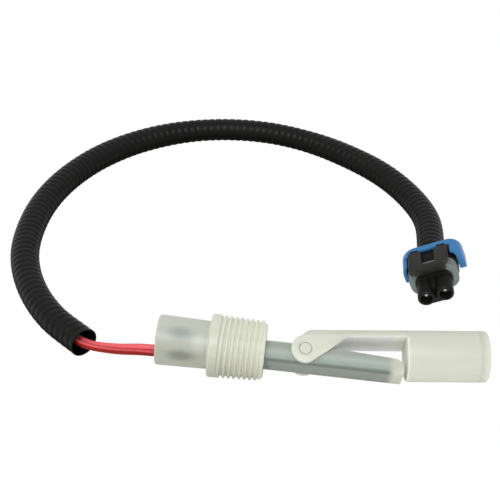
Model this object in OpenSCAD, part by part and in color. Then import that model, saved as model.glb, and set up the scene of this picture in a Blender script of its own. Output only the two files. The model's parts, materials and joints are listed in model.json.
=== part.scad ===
// Side-mount float switch for liquid level, lying on a surface with its harness.
// A moulded plug with a tapered pipe thread carries a stem with a sealed reed switch.
// A float on two ears swings about stubs on the stem and brings a magnet to the reed.
// Millimetres, +Z up. The plug's own frame has X along its axis, zero at the rear of
// its collar, and Z towards the side on which the float opens.

/* [Plug body] */
// Outside diameter of the rear skirt at the collar
skirt_d = 16.5; // [14.5:0.1:17.5]
// Growth of the skirt's radius towards its rear
skirt_flare = 0.45; // [0:0.05:0.6]
// Length of the rear skirt behind the collar
skirt_l = 18; // [16:0.5:26]
// Wall of the rear skirt
skirt_wall = 1.7; // [1.2:0.1:2.0]
// Thickness of the plug's floor between the cup and the stem
floor_t = 2; // [1.5:0.1:2.5]
// Length of the collar behind the thread
collar_l = 2.7; // [2:0.1:4]
// Crest diameter of the tapered thread at the collar
thread_d = 21.7; // [21.3:0.05:22.1]
// Length of the thread
thread_l = 16.4; // [14:0.1:19]
// Depth of the thread, crest to root
thread_depth = 1.45; // [1.2:0.05:1.6]
// Pitch of the thread, 14 to the inch
thread_pitch = 1.814; // [1.7:0.001:1.9]
// Taper of the thread on its diameter, as one part in this many
thread_taper = 16; // [12:1:20]

/* [Stem] */
// Width of the stem
stem_w = 10.8; // [10:0.1:11.4]
// Depth of the stem below the plug's axis
stem_below = 5; // [4.6:0.1:5.4]
// Height of the stem above the plug's axis at the pivot
stem_above = 2.35; // [1.6:0.05:2.6]
// Length of the stem in front of the thread
stem_l = 47.1; // [44:0.1:48]
// Height of the stem above the plug's axis at its tip
stem_tip_above = 0.6; // [0:0.05:0.65]
// Radius of the stem's upper corner at its tip
stem_tip_r = 3.2; // [1.5:0.1:3.4]
// Wall of the stem around the sealed core
stem_wall = 1; // [0.8:0.05:1.2]
// Solid plastic at the tip of the stem
tip_t = 2.4; // [1.8:0.1:3]

/* [Float] */
// Distance of the pivot from the rear of the collar
pivot_x = 32.6; // [30:0.1:33]
// Diameter of the pivot stubs
stub_d = 4.2; // [4:0.1:5]
// Running clearance of the ears on the stubs, on the radius
stub_fit = 0.07; // [0.05:0.01:0.1]
// Diameter of the float
float_d = 17.6; // [16.8:0.1:17.8]
// Distance from the pivot to the float's body
float_reach = 34.5; // [34.4:0.05:35.5]
// Length of the float's body without its cap
float_l = 25.2; // [22:0.1:28]
// Thickness of the end cap at its rim
cap_t = 2.4; // [1.8:0.1:3]
// Rise of the cap's domed face
cap_dome = 1; // [0.6:0.1:1.6]
// Wall of the float
float_wall = 1.2; // [1:0.05:1.4]
// Diameter of the ear around the pivot
ear_d = 9.6; // [9:0.1:10.4]
// Thickness of each ear
ear_t = 1.85; // [1.6:0.05:2]
// Side clearance between an ear and the stem
ear_gap = 0.25; // [0.15:0.05:0.3]
// Height of the arm's flat underside above the pivot
arm_clear = 4.4; // [4.4:0.05:4.7]
// Angle of the cheeks' lower edge
cheek_angle = 35; // [30:1:40]

/* [Magnet] */
// Diameter of the magnet
magnet_d = 6; // [5:0.1:7]
// Length of the magnet
magnet_l = 8; // [6:0.5:10]

/* [Reed switch] */
// Diameter of the reed's glass
glass_d = 2.2; // [1.8:0.1:2.3]
// Length of the reed's glass
glass_l = 14; // [12:0.5:15]
// Distance of the reed's front end from the end of the core
reed_back = 3; // [2.5:0.1:5]
// Diameter of the reed's leads
lead_d = 0.6; // [0.5:0.05:0.65]
// Diameter of the sleeve over each splice
sleeve_d = 4.2; // [3.8:0.1:4.3]
// Length of the sleeve over the upper splice
sleeve_a_l = 9.6; // [8:0.1:10]
// Length of the sleeve over the lower splice
sleeve_b_l = 10.8; // [9:0.1:10.9]

/* [Harness] */
// Diameter of each wire over its insulation
wire_d = 2.1; // [1.8:0.05:2.2]
// Outside diameter of the corrugated conduit
conduit_d = 10.4; // [10:0.1:10.6]
// Inside diameter of the conduit
conduit_bore = 7; // [6.8:0.1:7.4]

/* [Connector] */
// Distance between the two terminals
pitch = 7.2; // [7:0.1:7.6]
// Diameter of each tower
tower_d = 6.4; // [6.2:0.1:6.6]
// Length of the towers in front of the seal
tower_l = 12.3; // [11:0.1:14]
// Width of the housing
shell_w = 19.2; // [19:0.1:19.8]
// Height of the housing
shell_h = 11.2; // [10.8:0.1:11.8]
// Length of the housing behind the seal
shell_l = 10.5; // [10:0.1:12]
// Width of the ribbed seal over its ribs
seal_w = 18.6; // [18.2:0.1:19]
// Height of the ribbed seal over its ribs
seal_h = 11; // [10.6:0.1:11.4]
// Length of the ribbed seal
seal_l = 5.6; // [5:0.1:6]
// Number of ribs on the seal
seal_ribs = 3; // [2:1:4]
// Wall of the blue lock at its sides
lock_wall = 1.4; // [1.3:0.1:1.6]
// Length of the lock along the connector
lock_l = 8; // [7.5:0.1:8.4]
// Width of the latch frame
latch_w = 15.2; // [14.8:0.1:15.6]
// Length of the latch frame
latch_l = 11.5; // [11:0.1:11.8]
// Thickness of the latch frame
latch_t = 1.6; // [1.4:0.05:1.9]

/* [Lie] */
// Turn of the plug about its own axis, away from the float's side
lean = 60; // [50:1:70]
// Slope of the plug's axis, nose down
nose_down = 3.7; // [3.2:0.1:4.2]
// Roll of the connector about its own length
connector_roll = 22; // [20:1:23]

/* [Hidden] */
$fn = 64;

// Thread, from the collar to its front end
collar_r = thread_d / 2;
thread_end = collar_l + thread_l;
lead_in = thread_depth;
crest_end_x = thread_end - lead_in;
crest_end_r = crest_r_at(crest_end_x);
root_end_r = crest_end_r - thread_depth;

// Lie of the plug: the thread's front edge and the float's far end touch the surface
axis_z = crest_end_r * cos(nose_down) + crest_end_x * sin(nose_down);

// Stem
stem_end = thread_end + stem_l;
stem_slope_end = stem_end - stem_tip_r - 0.2;
core_end = stem_end - tip_t;
core_start = -floor_t;
fit = 0.05;

// Float, measured from its pivot
float_r = float_d / 2;
ear_r = ear_d / 2;
ear_in = stem_w / 2 + ear_gap;
ear_out = ear_in + ear_t;
cap_x = float_reach + float_l;
cap_land = 1.6;
rim_x = cap_x + cap_t;
dome_r = (float_r * float_r + cap_dome * cap_dome) / (2 * cap_dome);

// Opening of the float at rest, at which the cap's rim comes down on the surface
pivot_z = axis_z - pivot_x * sin(nose_down);
rim_a = rim_x * rim_x + float_r * float_r;
rim_b = rim_x * pivot_z;
rim_c = pivot_z * pivot_z - float_r * float_r;
float_rise = (sqrt(rim_b * rim_b - rim_a * rim_c) - rim_b) / rim_a;
lean_rise = cos(lean) * cos(nose_down);
rest_open = atan2(sin(nose_down), lean_rise) + asin(float_rise / norm([sin(nose_down), lean_rise]));

// Origin: the middle of the plug and its float, seen from above
skirt_edge = 0.5;
skirt_rear_r = skirt_d / 2 + skirt_flare;
float_dx = cos(rest_open) * cos(nose_down) + sin(rest_open) * cos(lean) * sin(nose_down);
float_dy = sin(rest_open) * sin(lean);
front_x = pivot_x * cos(nose_down) + (rim_x + cap_dome - dome_r) * float_dx + dome_r;
rear_x = -skirt_l * cos(nose_down) - (skirt_rear_r - skirt_edge) * sin(nose_down);
far_y = rim_x * float_dy + float_r * sqrt(1 - float_dy * float_dy);
plug_x = -(front_x + rear_x) / 2;
plug_y = -(far_y - collar_r) / 2;

// Rear cup and what is potted in it
cup_r = skirt_d / 2 - skirt_wall;
cup_back = 1;
sleeve_gap = 0.3;
lead_room = 1.6;
sleeve_a_x = core_start - lead_room - sleeve_a_l;
sleeve_b_x = core_start - sleeve_gap - sleeve_b_l;
sleeve_r = sleeve_d / 2;
sleeve_z = cup_r - sleeve_r - 0.8;
exit_a_z = -3.05;
exit_b_z = exit_a_z - wire_d - fit;

// Reed and its leads inside the stem
reed_y = 1.1;
reed_z = -2.4;
lead_y = -1.4;
glass_front = core_end - reed_back;
glass_rear = glass_front - glass_l;
glass_wall = 0.3;
blade_w = 1.1;
blade_t = 0.2;
blade_overlap = 1;
blade_gap = 0.08;
duct_r = glass_d / 2 + fit;
duct_side = 1;
turn_x = glass_front + 1.6;
mouth_l = 2.4;
mouth_top = 0.9;

// Connector, in its own frame: +Y to the cable, -Y to the mating half, Z to the latch
seal_x = 40.1;
seal_y = 50.5;
seal_front = -2.3;
seal_back = seal_front + seal_l;
shell_r = 4;
seal_t = 1.5;
seal_r = 4.4;
face_t = 0.8;
nose_w = 14.2;
nose_h = 8.6;
nose_r = 4.2;
nose_l = 1.6;
nose_back = seal_front + face_t + 0.5;
web_t = 2.2;
web_z = -1.8;
rib_w = 1.7;
rib_top = 2.5;
connector_yaw = 1.5;
foot_x = shell_w / 2 - shell_r;
foot_z = shell_h / 2 - shell_r;
seal_height = foot_x * sin(connector_roll) + foot_z * cos(connector_roll) + shell_r + 0.02;
lock_gap = 0.3;
lock_in = shell_w / 2 + lock_gap;
lock_out = lock_in + lock_wall;
lock_front = 4;
lock_back = lock_front + lock_l;
lock_top_in = shell_h / 2 + lock_gap;
lock_top = lock_top_in + 1;
lock_foot = -3.2;
latch_front = -4.2;
latch_hinge_y = latch_front + latch_l;
latch_z = shell_h / 2 + 0.8;
latch_foot_l = 1.2;
latch_foot_w = 3.2;
latch_foot_y = latch_hinge_y + 0.3;
rear_y = seal_back + shell_l;
conduit_gap = 1;
mouth_r = 2.2;
mouth_t = 3;
terminal_d = 2.8;
terminal_tip = 2.3;
terminal_back = 7.5;
seal_seat = 8.2;
wire_seal_end = rear_y - 2.2;

// Route of the conduit's centre line on the surface, from its open mouth
route = [
    [-83.8, 2.6], [-98.7, 16], [-110.3, 33], [-117.8, 52.5], [-120.2, 72.5], [-118.8, 93],
    [-113.1, 112.4], [-103, 130.4], [-88.8, 145], [-70.8, 155.4], [-51.2, 160],
    [-30.6, 158.8], [-11.2, 151.8], [5.9, 140.8], [21, 126.8], [32.3, 110], [38.8, 91]
];
route_rise = 0.9;
conduit_z = conduit_d / 2;
conduit_path = concat(
    [for (i = [0 : len(route) - 1])
        [route[i][0], route[i][1], conduit_z + (i == len(route) - 1 ? route_rise : 0)]],
    [connector_point([0, rear_y + conduit_gap, 0])]
);
wire_side = 1.12;
wire_lift = 0.1;
wire_bow = 0.15;
wire_sag = 0.5;

// Radius of the thread's crest at a distance along the plug
function crest_r_at(x) = collar_r - (x - collar_l) / (2 * thread_taper);

// Where a point of the plug's frame lies on the surface
function plug_point(p) =
    let (y1 = p[1] * cos(lean) + p[2] * sin(lean), z1 = -p[1] * sin(lean) + p[2] * cos(lean))
    [plug_x + p[0] * cos(nose_down) + z1 * sin(nose_down), plug_y + y1,
        axis_z - p[0] * sin(nose_down) + z1 * cos(nose_down)];

// Where a point of the connector's frame lies on the surface
function connector_point(p) =
    let (x1 = p[0] * cos(connector_roll) - p[2] * sin(connector_roll),
        z1 = p[0] * sin(connector_roll) + p[2] * cos(connector_roll))
    [seal_x + x1 * cos(connector_yaw) - p[1] * sin(connector_yaw),
        seal_y + x1 * sin(connector_yaw) + p[1] * cos(connector_yaw), seal_height + z1];

// Points of an outline: a box with round corners, centred
function round_box(w, h, r, n = 6) = [
    for (q = [0 : 3], i = [0 : n])
        let (a = 90 * q + 90 * i / n, sx = (q == 0 || q == 3) ? 1 : -1, sy = q < 2 ? 1 : -1)
        [sx * (w / 2 - r) + r * cos(a), sy * (h / 2 - r) + r * sin(a)]
];

// Direction of a path at one of its points
function unit(v) = v / norm(v);
function path_dir(path, i) =
    unit(path[min(i + 1, len(path) - 1)] - path[max(i - 1, 0)]);
function side_of(d) = unit([d[1], -d[0], 0]);

// One ring of a tube round a path, widened at a bend so that the tube keeps its size
function ring(path, i, r, n) =
    let (d = path_dir(path, i), s = side_of(d), u = cross(s, d))
    [for (k = [0 : n - 1]) path[i] + r * cos(360 * k / n - 90) * s + r * sin(360 * k / n - 90) * u];

// A path beside another one, moved sideways and up
function beside(path, side, up) = [
    for (i = [0 : len(path) - 1]) path[i] + side * side_of(path_dir(path, i)) + [0, 0, up]
];

module tube(path, d, n) {
    m = len(path);
    points = [for (i = [0 : m - 1]) each ring(path, i, d / 2, n)];
    walls = [
        for (i = [0 : m - 2], k = [0 : n - 1])
            let (a = i * n + k, b = i * n + (k + 1) % n)
            each [[a, b, a + n], [b, b + n, a + n]]
    ];
    ends = [[for (k = [n - 1 : -1 : 0]) k], [for (k = [0 : n - 1]) (m - 1) * n + k]];
    polyhedron(points, concat(walls, ends));
}

module hollow_tube(path, d, bore, n) {
    m = len(path);
    outer = [for (i = [0 : m - 1]) each ring(path, i, d / 2, n)];
    inner = [for (i = [0 : m - 1]) each ring(path, i, bore / 2, n)];
    o = m * n;
    walls = [
        for (i = [0 : m - 2], k = [0 : n - 1])
            let (a = i * n + k, b = i * n + (k + 1) % n)
            each [[a, b, a + n], [b, b + n, a + n], [o + a, o + a + n, o + b], [o + b, o + a + n, o + b + n]]
    ];
    last = (m - 1) * n;
    ends = [
        for (k = [0 : n - 1])
            let (k2 = (k + 1) % n)
            each [[k, o + k, k2], [k2, o + k, o + k2],
                [last + k, last + k2, o + last + k], [last + k2, o + last + k2, o + last + k]]
    ];
    polyhedron(concat(outer, inner), concat(walls, ends));
}

module in_plug() {
    translate([plug_x, plug_y, axis_z]) rotate([-lean, nose_down, 0]) children();
}

module in_float() {
    in_plug() translate([pivot_x, 0, 0]) rotate([0, -rest_open, 0]) children();
}

module in_connector() {
    translate([seal_x, seal_y, seal_height]) rotate([0, -connector_roll, connector_yaw]) children();
}

// A turned solid along X, from an outline of [distance along X, radius]
module turned(outline) {
    rotate([90, 0, 90]) rotate_extrude() polygon([for (p = outline) [p[1], p[0]]]);
}

// A bar along X from x0 to x1
module bar(x0, x1, r) {
    translate([x0, 0, 0]) rotate([0, 90, 0]) cylinder(r = r, h = x1 - x0);
}

// A side view in X and Z, made as thick as w about the middle
module side_view(w) {
    rotate([90, 0, 0]) translate([0, 0, -w / 2]) linear_extrude(w) children();
}

// Side view of the stem, drawn in by inset on its long sides
module stem_outline(x0, x1, inset, round_tip) {
    slope_x = min(stem_slope_end, x1);
    top = stem_above - inset;
    tip_top = stem_tip_above - inset;
    arc_c = [x1 - stem_tip_r, tip_top - stem_tip_r];
    arc_n = 8;
    polygon(concat(
        [[x0, -stem_below + inset], [x1, -stem_below + inset]],
        round_tip
            ? [for (i = [0 : arc_n])
                arc_c + stem_tip_r * [cos(90 * i / arc_n), sin(90 * i / arc_n)]]
            : [[x1, tip_top]],
        [[slope_x, tip_top], [pivot_x, top], [x0, top]]
    ));
}

module plug_body() {
    edge = skirt_edge;
    crest_w = 0.2;
    groove_half = (thread_pitch - crest_w) / 2;
    grooves = floor((crest_end_x - crest_w - collar_l) / thread_pitch);
    color([0.86, 0.87, 0.81]) in_plug() difference() {
        union() {
            turned(concat(
                [[-skirt_l, 0], [-skirt_l, skirt_rear_r - edge], [-skirt_l + edge, skirt_rear_r],
                    [0, skirt_d / 2], [0, collar_r - edge], [edge, collar_r], [collar_l, collar_r]],
                [for (i = [grooves - 1 : -1 : 0], k = [-1 : 1])
                    let (x = crest_end_x - crest_w / 2 - (i + 0.5) * thread_pitch + k * groove_half)
                    [x, crest_r_at(x) - (k == 0 ? thread_depth : 0)]],
                [[crest_end_x, crest_end_r], [thread_end, root_end_r], [thread_end, 0]]));
            intersection() {
                side_view(stem_w) stem_outline(thread_end - 1, stem_end, 0, true);
                rotate([90, 0, 90]) linear_extrude(stem_end) translate([0, (stem_above - stem_below) / 2])
                    polygon(round_box(stem_w, stem_above + stem_below, 1.1));
            }
            for (side = [-1, 1])
                translate([pivot_x, side * (stem_w / 2 - 0.5), 0]) rotate([-90 * side, 0, 0]) {
                    cylinder(d = stub_d, h = ear_out - stem_w / 2 + 0.2);
                    translate([0, 0, ear_out - stem_w / 2 + 0.2])
                        cylinder(d1 = stub_d, d2 = stub_d - 0.6, h = 0.3);
                }
        }
        bar(-skirt_l - 1, core_start, cup_r);
        side_view(stem_w - 2 * stem_wall) stem_outline(core_start - 1, core_end, stem_wall, false);
    }
}

// Rear filling of the cup, with the places of the splices and wires left open
module rear_potting() {
    room = wire_d / 2 + fit + 0.1;
    color([0.8, 0.8, 0.76]) in_plug() difference() {
        bar(-skirt_l + cup_back, core_start - fit, cup_r - fit);
        translate([0, 0, sleeve_z]) bar(sleeve_a_x - fit, core_start + 1, sleeve_r + fit);
        translate([0, 0, -sleeve_z]) bar(sleeve_b_x - fit, core_start + 1, sleeve_r + fit);
        for (path = [wire_a_in, wire_b_in])
            for (i = [0 : len(path) - 2])
                side_view(2 * room) polygon(slot_outline(path[i], path[i + 1], room));
        side_view(2 * sleeve_r) polygon([[core_start - 3, -sleeve_z], [core_start - 3, sleeve_z],
            [core_start + 1, sleeve_z], [core_start + 1, -sleeve_z]]);
    }
}

// Outline of a slot along one stretch of a wire, a little longer than the stretch
function slot_outline(p, q, r) =
    let (a = [p[0], p[2]], b = [q[0], q[2]], d = unit(b - a), s = [-d[1], d[0]])
    [a - r * d - r * s, b + r * d - r * s, b + r * d + r * s, a - r * d + r * s];

// Wires inside the cup, in the plug's frame, from the splice to the rear face
splice_in = 2.6;
bend_room = sleeve_a_x + skirt_l;
wire_a_in = [[sleeve_a_x + splice_in, 0, sleeve_z], [sleeve_a_x - 0.3, 0, sleeve_z],
    [sleeve_a_x - 0.4 * bend_room, 0, sleeve_z - 1.6], [-skirt_l + 0.3 * bend_room, 0, exit_a_z + 0.6],
    [-skirt_l, 0, exit_a_z]];
wire_b_in = [[sleeve_b_x + splice_in, 0, -sleeve_z], [sleeve_b_x - 0.8, 0, -sleeve_z],
    [-skirt_l, 0, exit_b_z]];

module stem_potting() {
    inner_w = stem_w - 2 * stem_wall - 2 * fit;
    color([0.5, 0.55, 0.53]) in_plug() difference() {
        side_view(inner_w) stem_outline(core_start + fit, core_end - fit, stem_wall + fit, false);
        translate([0, reed_y, reed_z]) bar(core_start - 1, glass_front + fit, duct_r);
        translate([core_start - 1, lead_y - duct_side / 2, reed_z - duct_side / 2])
            cube([turn_x - core_start + 1 + duct_side / 2, duct_side, duct_side]);
        translate([glass_front - 1, lead_y - duct_side / 2, reed_z - duct_side / 2])
            cube([turn_x - glass_front + 1 + duct_side / 2, reed_y - lead_y + duct_side, duct_side]);
        translate([core_start - 1, lead_y - duct_side / 2, -stem_below])
            cube([mouth_l + 1, reed_y - lead_y + duct_r + duct_side / 2, stem_below + mouth_top]);
    }
}

module reed_glass() {
    r = glass_d / 2;
    bore = lead_d / 2 + 0.02;
    color([0.75, 0.82, 0.8]) in_plug() translate([0, reed_y, reed_z])
        turned([[glass_rear, bore], [glass_rear, r - 0.5], [glass_rear + 0.6, r], [glass_front - 0.6, r],
            [glass_front, r - 0.5], [glass_front, bore], [glass_front - 1.4, bore],
            [glass_front - 1.8, r - glass_wall], [glass_rear + 1.8, r - glass_wall],
            [glass_rear + 1.4, bore]]);
}

// A flat contact blade with the round lead that the glass grips; it points along X.
// The blade lies to one side, so that its tip stands clear over the other blade's tip.
module reed_blade(side) {
    grip = 1.9;
    blade_end = (glass_l + blade_overlap) / 2;
    offset_z = side * (blade_t + blade_gap) / 2;
    color([0.7, 0.7, 0.72]) {
        bar(0, grip, lead_d / 2);
        translate([grip - 0.2, -blade_w / 2, offset_z - blade_t / 2])
            cube([blade_end - grip + 0.2, blade_w, blade_t]);
    }
}

module reed_blade_rear() {
    in_plug() translate([glass_rear, reed_y, reed_z]) reed_blade(-1);
}

module reed_blade_front() {
    in_plug() translate([glass_front, reed_y, reed_z]) mirror([1, 0, 0]) reed_blade(1);
}

module lead_front() {
    start = splice_end(sleeve_b_x, sleeve_b_l);
    color([0.7, 0.7, 0.72]) tube([for (p = [
        [start, 0, -sleeve_z], [core_start - sleeve_gap, 0, -sleeve_z],
        [core_start + mouth_l - 1, lead_y, reed_z],
        [turn_x - 0.4, lead_y, reed_z], [turn_x, lead_y + 0.4, reed_z], [turn_x, reed_y - 0.4, reed_z],
        [turn_x - 0.4, reed_y, reed_z], [glass_front + fit, reed_y, reed_z]]) plug_point(p)], lead_d, 6);
}

module lead_rear() {
    start = splice_end(sleeve_a_x, sleeve_a_l);
    color([0.7, 0.7, 0.72]) tube([for (p = [
        [start, 0, sleeve_z], [sleeve_a_x + sleeve_a_l + 0.2, 0, sleeve_z - 0.2],
        [core_start - 0.4, reed_y / 2, mouth_top - lead_d],
        [core_start + mouth_l - 1, reed_y, reed_z + 0.2], [core_start + mouth_l, reed_y, reed_z],
        [glass_rear - fit, reed_y, reed_z]]) plug_point(p)], lead_d, 6);
}

// Where a lead ends inside the crimp barrel of a sleeve
function splice_end(x, l) = x + l - 2.5;

// Crimp barrel on the end of a wire, with a bore for the reed's lead in front
module splice(x, l) {
    front = splice_end(x, l) + 1;
    color([0.78, 0.62, 0.32]) difference() {
        bar(x + splice_in + fit, front, wire_d / 2);
        bar(front - 3, front + 1, lead_d / 2 + fit);
    }
}

module splice_a() {
    in_plug() translate([0, 0, sleeve_z]) splice(sleeve_a_x, sleeve_a_l);
}

module splice_b() {
    in_plug() translate([0, 0, -sleeve_z]) splice(sleeve_b_x, sleeve_b_l);
}

// Shrunk sleeve: close on the wire at its rear, on the barrel in its middle
module shrink_sleeve(x, l) {
    bore = wire_d / 2 + fit;
    turned([[x, bore], [x, sleeve_r - 0.5], [x + 0.9, sleeve_r], [x + l - 0.9, sleeve_r],
        [x + l, sleeve_r - 0.5], [x + l, bore]]);
}

module shrink_sleeve_a() {
    color([0.45, 0.52, 0.5]) in_plug() translate([0, 0, sleeve_z]) shrink_sleeve(sleeve_a_x, sleeve_a_l);
}

module shrink_sleeve_b() {
    color([0.3, 0.33, 0.3]) in_plug() translate([0, 0, -sleeve_z]) shrink_sleeve(sleeve_b_x, sleeve_b_l);
}

// Side view of the ears, cheeks and arm, from the pivot to the float's body
module arm_outline() {
    tangent = ear_r * 0.99;
    start = [tangent * sin(cheek_angle), -tangent * cos(cheek_angle)];
    meet_x = start[0] + (arm_clear - start[1]) / tan(cheek_angle);
    bevel_x = -1.2;
    bevel_z = sqrt(ear_r * ear_r - bevel_x * bevel_x);
    bevel_angle = 47;
    top = float_r + 0.5;
    circle(r = ear_r);
    polygon([[0, 0], start, [meet_x, arm_clear], [float_reach + 0.5, arm_clear], [float_reach + 0.5, top],
        [bevel_x + (top - bevel_z) / tan(bevel_angle), top], [bevel_x, bevel_z - 0.02]]);
}

module float_shell() {
    inner_r = float_r - float_wall;
    boss_r = magnet_d / 2 + fit + 1.1;
    boss_end = float_reach + float_wall + magnet_l + 1.6;
    edge = 0.5;
    color([0.89, 0.9, 0.86]) in_float() difference() {
        union() {
            intersection() {
                bar(-ear_r - 1, float_reach + 0.4, float_r);
                difference() {
                    side_view(2 * ear_out) arm_outline();
                    translate([-ear_r - 1, -ear_in, -ear_r - 1])
                        cube([float_reach + ear_r + 1, 2 * ear_in, arm_clear + ear_r + 1]);
                }
            }
            turned([[float_reach, 0], [float_reach, float_r - edge], [float_reach + edge, float_r],
                [cap_x, float_r], [cap_x, inner_r], [float_reach + float_wall + 0.6, inner_r],
                [float_reach + float_wall, inner_r - 0.6], [float_reach + float_wall, boss_r],
                [boss_end, boss_r], [boss_end, 0]]);
        }
        bar(float_reach + float_wall, boss_end + 1, magnet_d / 2 + fit);
        rotate([90, 0, 0]) cylinder(d = stub_d + 2 * stub_fit, h = 4 * ear_out, center = true);
    }
}

module float_cap() {
    inner_r = float_r - float_wall - fit;
    n = 8;
    dome = [for (i = [1 : n]) let (r = float_r * (1 - i / n))
        [rim_x + sqrt(dome_r * dome_r - r * r) - (dome_r - cap_dome), r]];
    color([0.86, 0.86, 0.8]) in_float()
        turned(concat([[cap_x - cap_land, inner_r - 1.2], [cap_x - cap_land, inner_r], [cap_x, inner_r],
            [cap_x, float_r], [rim_x, float_r]], dome, [[cap_x + 0.6, 0], [cap_x + 0.6, inner_r - 1.2]]));
}

module magnet() {
    x = float_reach + float_wall + fit;
    color([0.35, 0.35, 0.38]) in_float()
        turned([[x, 0], [x, magnet_d / 2 - 0.3], [x + 0.3, magnet_d / 2], [x + magnet_l - 0.3, magnet_d / 2],
            [x + magnet_l, magnet_d / 2 - 0.3], [x + magnet_l, 0]]);
}

module magnet_plug() {
    x = float_reach + float_wall + magnet_l + 2 * fit;
    color([0.86, 0.87, 0.81]) in_float() bar(x, x + 1.4, magnet_d / 2);
}

// Wires from the splices through the open stretch and the conduit to the terminals
module wire(inside, side, exit_dip) {
    color([0.85, 0.15, 0.2]) {
        start = [for (p = inside) plug_point(p)];
        leave = plug_point(inside[len(inside) - 1] + [-5, 0, exit_dip]);
        run = beside([for (i = [0 : len(route) - 1]) conduit_path[i]], side * wire_side, -side * wire_lift);
        middle = (leave + run[0]) / 2 + [0, side * wire_bow, -wire_sag];
        ends = [for (p = [[wire_side, rear_y + 9], [2.2, rear_y + 0.8], [pitch / 2, wire_seal_end + 0.3],
            [pitch / 2, terminal_back + fit]]) connector_point([-side * p[0], p[1], 0])];
        tube(concat(start, [leave, middle], run, ends), wire_d, 8);
    }
}

module wire_a() {
    wire(wire_a_in, 1, 0);
}

module wire_b() {
    wire(wire_b_in, -1, -0.1);
}

module conduit() {
    color([0.12, 0.12, 0.11]) hollow_tube(conduit_path, conduit_d, conduit_bore, 12);
}

// A solid along Y from y0 to y1 with an outline in X and Z
module prism(y0, y1) {
    translate([0, y1, 0]) rotate([90, 0, 0]) linear_extrude(y1 - y0) children();
}

// A bar along Y at x
module rod(x, y0, y1, r) {
    translate([x, y1, 0]) rotate([90, 0, 0]) cylinder(r = r, h = y1 - y0);
}

// Black housing: two round towers joined by a web, their nose, the seat of the seal and the shell
module connector_housing() {
    seat_w = seal_w - 2 * seal_t;
    seat_h = seal_h - 2 * seal_t;
    seat_y = seal_front + face_t + fit;
    bore = terminal_d / 2 + fit;
    chamfer = 0.4;
    color([0.13, 0.13, 0.12]) in_connector() difference() {
        union() {
            for (side = [-1, 1]) {
                rod(side * pitch / 2, -tower_l + chamfer, seat_y + 0.5, tower_d / 2);
                translate([side * pitch / 2, -tower_l + chamfer, 0]) rotate([90, 0, 0])
                    cylinder(r1 = tower_d / 2, r2 = tower_d / 2 - chamfer, h = chamfer);
            }
            prism(-tower_l + chamfer, seat_y + 0.5) translate([0, web_z])
                square([pitch, web_t], center = true);
            prism(-tower_l + mouth_t, seat_y + 0.5) translate([-rib_w / 2, web_z])
                square([rib_w, rib_top - web_z]);
            prism(seal_front - nose_l, nose_back) polygon(round_box(nose_w, nose_h, nose_r, 8));
            prism(seat_y, seal_back + 0.5) polygon(round_box(seat_w, seat_h, seal_r - seal_t, 8));
            prism(seal_back, rear_y) polygon(round_box(shell_w, shell_h, shell_r));
            for (side = [-1, 1])
                translate([side * (latch_w / 2 - 2.4) - latch_foot_w / 2, latch_foot_y, shell_h / 2 - 0.4])
                    cube([latch_foot_w, latch_foot_l, latch_z + latch_t - shell_h / 2 + 0.1]);
        }
        for (side = [-1, 1]) {
            rod(side * pitch / 2, -tower_l - 1, -tower_l + mouth_t, mouth_r);
            rod(side * pitch / 2, -tower_l + 1, seal_seat, bore);
            rod(side * pitch / 2, seal_seat - 0.2, rear_y + 1, 2.65);
        }
    }
}

// Ribbed ring round the housing, drawn in at its front to the nose from which the towers stand
module interface_seal() {
    rib = 0.6;
    rib_pitch = seal_l / seal_ribs;
    valley_w = seal_w - 2 * rib;
    valley_h = seal_h - 2 * rib;
    hole_w = seal_w - 2 * seal_t + 2 * fit;
    hole_h = seal_h - 2 * seal_t + 2 * fit;
    color([0.5, 0.55, 0.55]) in_connector() difference() {
        union() {
            prism(seal_front, seal_back - fit)
                polygon(round_box(valley_w, valley_h, seal_r - rib, 8));
            for (i = [0 : seal_ribs - 1])
                prism(seal_front + rib_pitch * (i + 0.2), seal_front + rib_pitch * (i + 0.75))
                    polygon(round_box(seal_w, seal_h, seal_r, 8));
        }
        prism(seal_front + face_t, seal_back + 1)
            polygon(round_box(hole_w, hole_h, seal_r - seal_t + fit, 8));
        prism(seal_front - 1, nose_back + fit)
            polygon(round_box(nose_w + 2 * fit, nose_h + 2 * fit, nose_r + fit, 8));
    }
}

module wire_seal(side) {
    r = 2.6;
    groove = 0.35;
    x0 = seal_seat + fit;
    x1 = wire_seal_end;
    bore = wire_d / 2 + fit;
    color([0.5, 0.55, 0.55]) in_connector() translate([side * pitch / 2, 0, 0]) rotate([0, 0, 90])
        turned(concat([[x0, bore], [x0, r]], [for (i = [1 : 3], k = [0 : 3])
            let (mid = x0 + (x1 - x0) * i / 4)
            [mid + [-0.5, -0.2, 0.2, 0.5][k], r - [0, groove, groove, 0][k]]], [[x1, r], [x1, bore]]));
}

module wire_seal_a() {
    wire_seal(-1);
}

module wire_seal_b() {
    wire_seal(1);
}

// A terminal whose tip stands in the mouth of its tower
module terminal(side) {
    tip = -tower_l + terminal_tip;
    tip_r = 0.8;
    x0 = -tower_l + mouth_t + fit;
    r = terminal_d / 2;
    color([0.75, 0.75, 0.76]) in_connector() translate([side * pitch / 2, 0, 0]) rotate([0, 0, 90])
        turned([[tip, 0], [tip, tip_r - 0.3], [tip + 0.3, tip_r], [x0, tip_r], [x0, r], [0, r],
            [0.5, r - 0.4], [terminal_back - 2.6, r - 0.4], [terminal_back - 2.2, r],
            [terminal_back, r], [terminal_back, 0]]);
}

module terminal_a() {
    terminal(-1);
}

module terminal_b() {
    terminal(1);
}

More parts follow.
